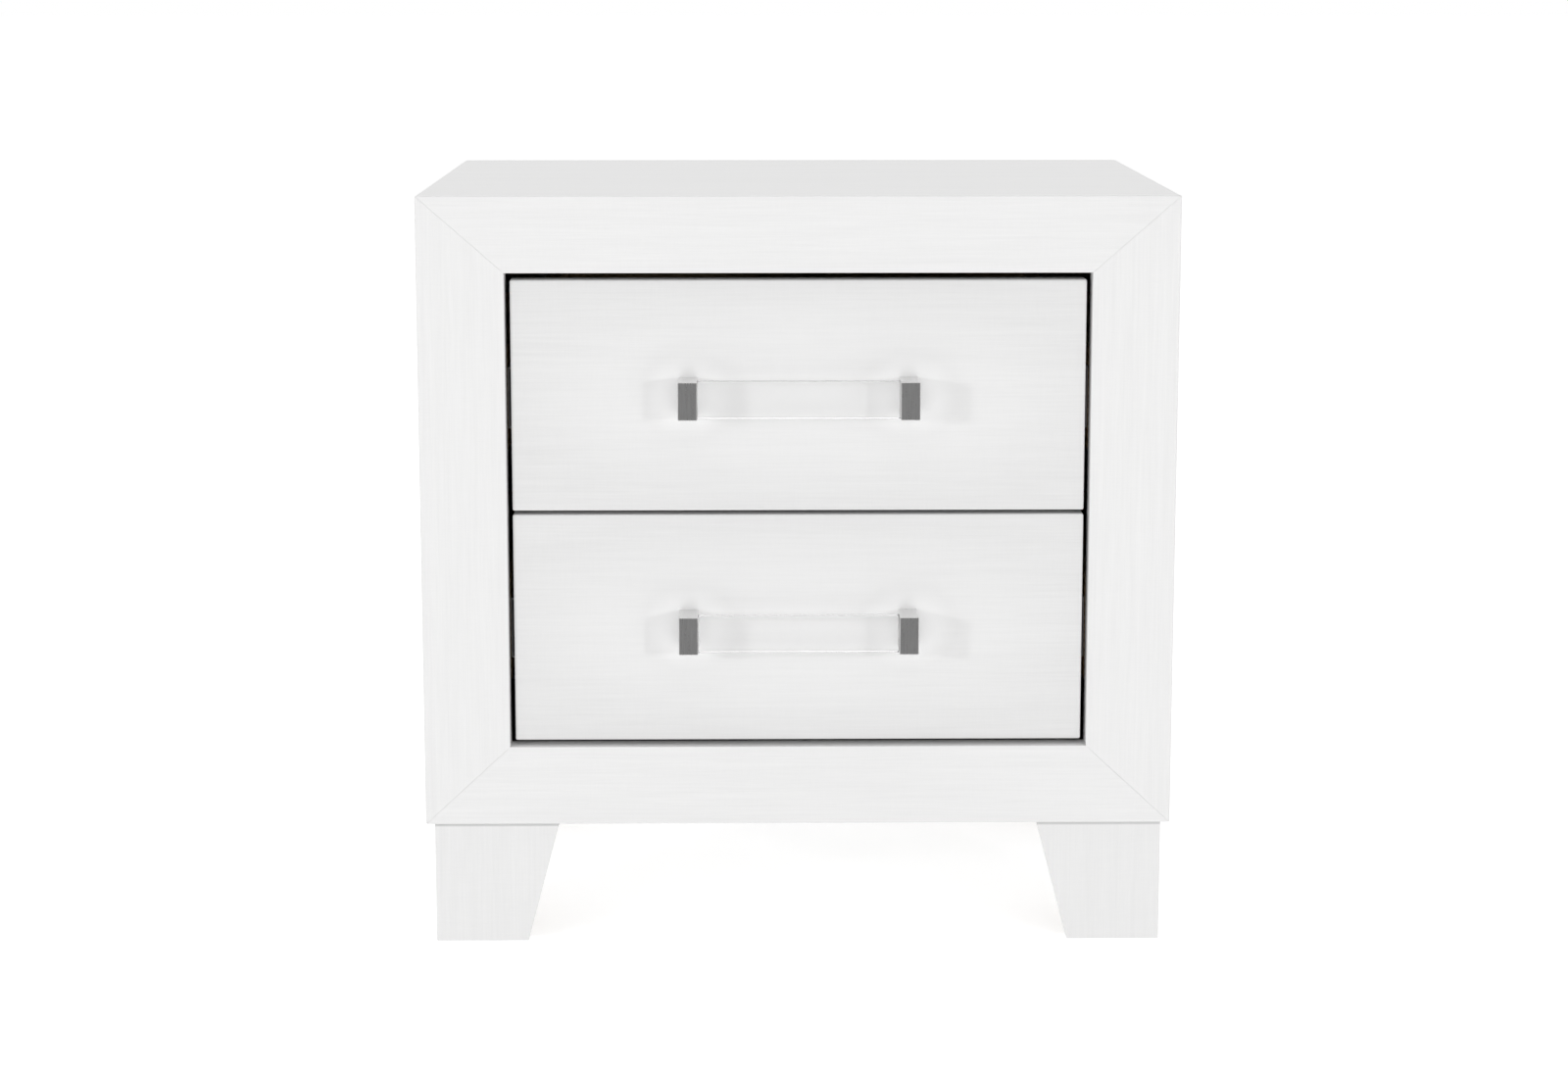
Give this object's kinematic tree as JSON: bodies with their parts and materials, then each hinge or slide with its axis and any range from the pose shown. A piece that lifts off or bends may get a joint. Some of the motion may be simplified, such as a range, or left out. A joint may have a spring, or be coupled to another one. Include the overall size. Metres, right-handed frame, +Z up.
{
  "type": "nightstand",
  "caption": "White bedside cabinet with a wide mitred frame round inset drawers on telescopic slides, bar handles and splayed bracket feet.",
  "frame": {"origin": "on the floor, at the centre of the whole object's footprint box with the handles included", "axes": "+X to the right seen from the front, +Y towards the back (the drawers open towards -Y), +Z up"},
  "size_m": [0.55, 0.425, 0.555],
  "materials": {
    "laminate_across": "white brushed-linen laminate on board, grain along X",
    "laminate_upright": "white brushed-linen laminate on board, grain along Z",
    "laminate_legs": "white brushed-linen laminate on board, grain along Z",
    "laminate_drawer": "white brushed-linen laminate on board, grain along X, small rounded edges",
    "back_board": "thin hardboard, painted off-white",
    "batten_wood": "planed plain softwood",
    "drawer_box": "clear-lacquered birch plywood",
    "drawer_floor": "thin hardboard, painted off-white",
    "handle_metal": "satin nickel, softened edges",
    "clear_acrylic": "clear polished acrylic",
    "slide_steel": "zinc-plated rolled steel",
    "cage_steel": "pressed steel strip and polished balls",
    "screw_steel": "zinc-plated steel"
  },
  "bodies": {
    "case": {"top_panel": "laminate_across", "bottom_panel": "laminate_across", "left_side_panel": "laminate_upright", "right_side_panel": "laminate_upright", "back_panel": "back_board", "top_rail": "laminate_across", "bottom_rail": "laminate_across", "left_stile": "laminate_upright", "right_stile": "laminate_upright", "front_left_leg": "laminate_legs", "front_right_leg": "laminate_legs", "back_left_leg": "laminate_legs", "back_right_leg": "laminate_legs", "leg_corner_blocks": "batten_wood", "leg_screws": "screw_steel", "back_panel_screws": "screw_steel", "batten_screws": "screw_steel", "case_rail_screws": "screw_steel", "upper_left_slide_batten": "batten_wood", "upper_right_slide_batten": "batten_wood", "lower_left_slide_batten": "batten_wood", "lower_right_slide_batten": "batten_wood", "upper_left_slide_case_rail": "slide_steel", "upper_right_slide_case_rail": "slide_steel", "lower_left_slide_case_rail": "slide_steel", "lower_right_slide_case_rail": "slide_steel"},
    "upper_drawer": {"upper_drawer_front": "laminate_drawer", "upper_box_front": "drawer_box", "upper_box_back": "drawer_box", "upper_box_left_side": "drawer_box", "upper_box_right_side": "drawer_box", "upper_drawer_floor": "drawer_floor", "upper_handle_left_post": "handle_metal", "upper_handle_right_post": "handle_metal", "upper_handle_bar": "clear_acrylic", "upper_handle_screws": "screw_steel", "upper_front_screws": "screw_steel", "upper_left_slide_drawer_rail": "slide_steel", "upper_right_slide_drawer_rail": "slide_steel", "upper_drawer_rail_screws": "screw_steel"},
    "upper_middle_rails": {"upper_slide_middle_rails": "slide_steel"},
    "upper_outer_cages": {"upper_slide_outer_cages": "cage_steel"},
    "upper_inner_cages": {"upper_slide_inner_cages": "cage_steel"},
    "lower_drawer": {"lower_drawer_front": "laminate_drawer", "lower_box_front": "drawer_box", "lower_box_back": "drawer_box", "lower_box_left_side": "drawer_box", "lower_box_right_side": "drawer_box", "lower_drawer_floor": "drawer_floor", "lower_handle_left_post": "handle_metal", "lower_handle_right_post": "handle_metal", "lower_handle_bar": "clear_acrylic", "lower_handle_screws": "screw_steel", "lower_front_screws": "screw_steel", "lower_left_slide_drawer_rail": "slide_steel", "lower_right_slide_drawer_rail": "slide_steel", "lower_drawer_rail_screws": "screw_steel"},
    "lower_middle_rails": {"lower_slide_middle_rails": "slide_steel"},
    "lower_outer_cages": {"lower_slide_outer_cages": "cage_steel"},
    "lower_inner_cages": {"lower_slide_inner_cages": "cage_steel"}
  },
  "joints": [
    {"name": "upper_drawer_slide", "type": "slide", "parent": "case", "child": "upper_drawer", "axis": [0, -1, 0], "range_m": [0, 0.35]},
    {"name": "upper_middle_rails_slide", "type": "slide", "parent": "case", "child": "upper_middle_rails", "axis": [0, -1, 0], "range_m": [0, 0.175]},
    {"name": "upper_outer_cages_slide", "type": "slide", "parent": "case", "child": "upper_outer_cages", "axis": [0, -1, 0], "range_m": [0, 0.0875]},
    {"name": "upper_inner_cages_slide", "type": "slide", "parent": "case", "child": "upper_inner_cages", "axis": [0, -1, 0], "range_m": [0, 0.2625]},
    {"name": "lower_drawer_slide", "type": "slide", "parent": "case", "child": "lower_drawer", "axis": [0, -1, 0], "range_m": [0, 0.35]},
    {"name": "lower_middle_rails_slide", "type": "slide", "parent": "case", "child": "lower_middle_rails", "axis": [0, -1, 0], "range_m": [0, 0.175]},
    {"name": "lower_outer_cages_slide", "type": "slide", "parent": "case", "child": "lower_outer_cages", "axis": [0, -1, 0], "range_m": [0, 0.0875]},
    {"name": "lower_inner_cages_slide", "type": "slide", "parent": "case", "child": "lower_inner_cages", "axis": [0, -1, 0], "range_m": [0, 0.2625]}
  ],
  "couplings": [
    {"joint": "upper_middle_rails_slide", "follows": "upper_drawer_slide", "ratio": 0.5},
    {"joint": "upper_outer_cages_slide", "follows": "upper_drawer_slide", "ratio": 0.25},
    {"joint": "upper_inner_cages_slide", "follows": "upper_drawer_slide", "ratio": 0.75},
    {"joint": "lower_middle_rails_slide", "follows": "lower_drawer_slide", "ratio": 0.5},
    {"joint": "lower_outer_cages_slide", "follows": "lower_drawer_slide", "ratio": 0.25},
    {"joint": "lower_inner_cages_slide", "follows": "lower_drawer_slide", "ratio": 0.75}
  ]
}
